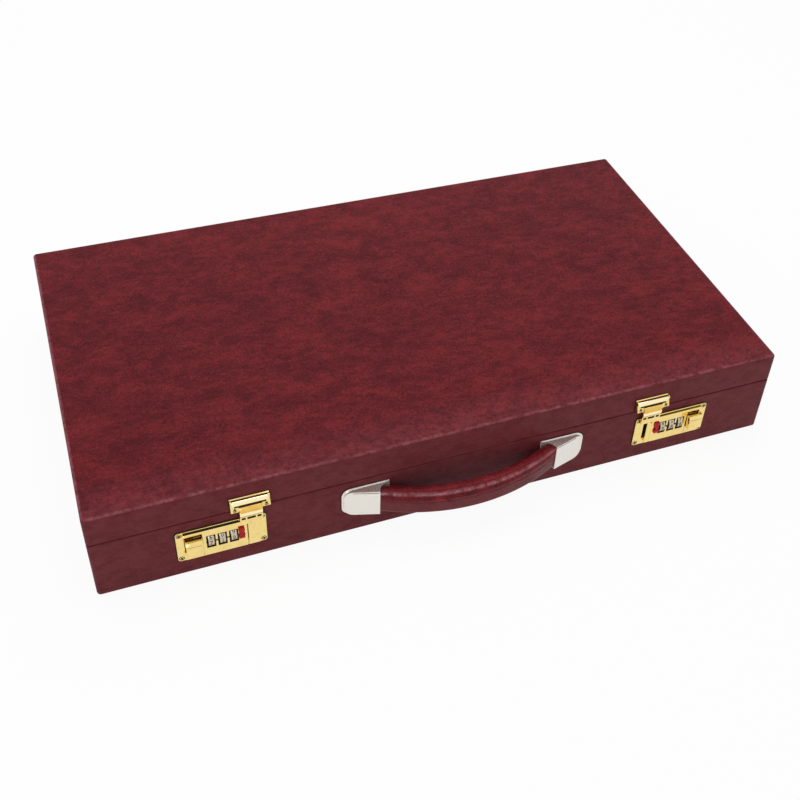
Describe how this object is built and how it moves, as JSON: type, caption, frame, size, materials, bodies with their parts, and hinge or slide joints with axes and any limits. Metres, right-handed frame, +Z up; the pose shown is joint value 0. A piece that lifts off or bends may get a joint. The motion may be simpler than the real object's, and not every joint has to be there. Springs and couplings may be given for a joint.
{
  "type": "chess storage case",
  "caption": "Rectangular leatherette attache case for chessmen, with a hinged lid, divided interior, combination locks and a padded carrying handle.",
  "frame": {"origin": "centre of the underside of the case, on the surface that it lies on", "axes": "+X to the right along the case's length as seen from the front, +Y from the handle side to the hinge side, +Z up"},
  "size_m": [0.47, 0.2965, 0.07],
  "materials": {
    "leatherette": "grained burgundy leatherette with a mottled satin surface",
    "bottom_leatherette": "grained burgundy leatherette sheet",
    "board": "planed plywood",
    "velvet": "wine-red velvet",
    "divider": "thin boards flocked with wine-red velvet",
    "cushion": "wine-red velvet over foam",
    "gold": "polished, gold plated",
    "lock_steel": "bright zinc plated",
    "wheel": "satin nickel plated, with dark figures",
    "code_red": "glossy red",
    "nickel": "polished nickel",
    "spring_steel": "bright spring steel",
    "grip_leatherette": "padded burgundy leatherette"
  },
  "bodies": {
    "base": {"back_long_divider": "divider", "base_back_board": "board", "base_bottom_panel": "board", "base_bottom_sheet": "bottom_leatherette", "base_cover": "leatherette", "base_end_boards": "board", "base_front_board": "board", "base_lining": "velvet", "cross_dividers": "divider", "detent_springs": "spring_steel", "front_long_divider": "divider", "handle_core": "spring_steel", "handle_grip": "grip_leatherette", "hinge_pins": "spring_steel", "left_button_spring": "spring_steel", "left_handle_backplate": "nickel", "left_handle_cap": "nickel", "left_hinge_base_leaf": "gold", "left_lock_frame": "lock_steel", "left_lock_plate": "gold", "lock_spindles": "lock_steel", "right_button_spring": "spring_steel", "right_handle_backplate": "nickel", "right_handle_cap": "nickel", "right_hinge_base_leaf": "gold", "right_lock_frame": "lock_steel", "right_lock_plate": "gold"},
    "lid": {"hasp_pins": "spring_steel", "left_hasp_plate": "gold", "left_hinge_lid_leaf": "gold", "lid_back_board": "board", "lid_cover": "leatherette", "lid_cushion": "cushion", "lid_end_boards": "board", "lid_front_board": "board", "lid_lining": "velvet", "lid_top_panel": "board", "right_hasp_plate": "gold", "right_hinge_lid_leaf": "gold"},
    "left_hasp": {"left_hasp": "gold"},
    "left_button": {"left_button": "gold", "left_bolt": "lock_steel"},
    "left_code_slide": {"left_code_slide": "code_red"},
    "left_code_wheel_1": {"left_code_wheel_1": "wheel"},
    "left_code_wheel_2": {"left_code_wheel_2": "wheel"},
    "left_code_wheel_3": {"left_code_wheel_3": "wheel"},
    "right_hasp": {"right_hasp": "gold"},
    "right_button": {"right_button": "gold", "right_bolt": "lock_steel"},
    "right_code_slide": {"right_code_slide": "code_red"},
    "right_code_wheel_1": {"right_code_wheel_1": "wheel"},
    "right_code_wheel_2": {"right_code_wheel_2": "wheel"},
    "right_code_wheel_3": {"right_code_wheel_3": "wheel"}
  },
  "joints": [
    {"name": "lid_hinge", "type": "hinge", "parent": "base", "child": "lid", "pos_m": [0, 0.1354, 0.047], "axis": [-1, 0, 0], "range_deg": [0, 95]},
    {"name": "left_hasp_hinge", "type": "hinge", "parent": "lid", "child": "left_hasp", "pos_m": [-0.1384, -0.1361, 0.0508], "axis": [-1, 0, 0], "range_deg": [0, 100]},
    {"name": "left_button_slide", "type": "slide", "parent": "base", "child": "left_button", "axis": [-1, 0, 0], "range_m": [0, 0.0035], "stiffness_N_per_m": 400, "springref_m": -0.002, "deforming": ["left_button_spring"]},
    {"name": "left_code_slide_move", "type": "slide", "parent": "base", "child": "left_code_slide", "axis": [1, 0, 0], "range_m": [0, 0.0014]},
    {"name": "left_code_wheel_1_turn", "type": "hinge", "parent": "base", "child": "left_code_wheel_1", "pos_m": [-0.164, -0.1308, 0.0282], "axis": [1, 0, 0], "continuous": true},
    {"name": "left_code_wheel_2_turn", "type": "hinge", "parent": "base", "child": "left_code_wheel_2", "pos_m": [-0.157, -0.1308, 0.0282], "axis": [1, 0, 0], "continuous": true},
    {"name": "left_code_wheel_3_turn", "type": "hinge", "parent": "base", "child": "left_code_wheel_3", "pos_m": [-0.15, -0.1308, 0.0282], "axis": [1, 0, 0], "continuous": true},
    {"name": "right_hasp_hinge", "type": "hinge", "parent": "lid", "child": "right_hasp", "pos_m": [0.1384, -0.1361, 0.0508], "axis": [-1, 0, 0], "range_deg": [0, 100]},
    {"name": "right_button_slide", "type": "slide", "parent": "base", "child": "right_button", "axis": [1, 0, 0], "range_m": [0, 0.0035], "stiffness_N_per_m": 400, "springref_m": -0.002, "deforming": ["right_button_spring"]},
    {"name": "right_code_slide_move", "type": "slide", "parent": "base", "child": "right_code_slide", "axis": [-1, 0, 0], "range_m": [0, 0.0014]},
    {"name": "right_code_wheel_1_turn", "type": "hinge", "parent": "base", "child": "right_code_wheel_1", "pos_m": [0.15, -0.1308, 0.0282], "axis": [1, 0, 0], "continuous": true},
    {"name": "right_code_wheel_2_turn", "type": "hinge", "parent": "base", "child": "right_code_wheel_2", "pos_m": [0.157, -0.1308, 0.0282], "axis": [1, 0, 0], "continuous": true},
    {"name": "right_code_wheel_3_turn", "type": "hinge", "parent": "base", "child": "right_code_wheel_3", "pos_m": [0.164, -0.1308, 0.0282], "axis": [1, 0, 0], "continuous": true}
  ]
}
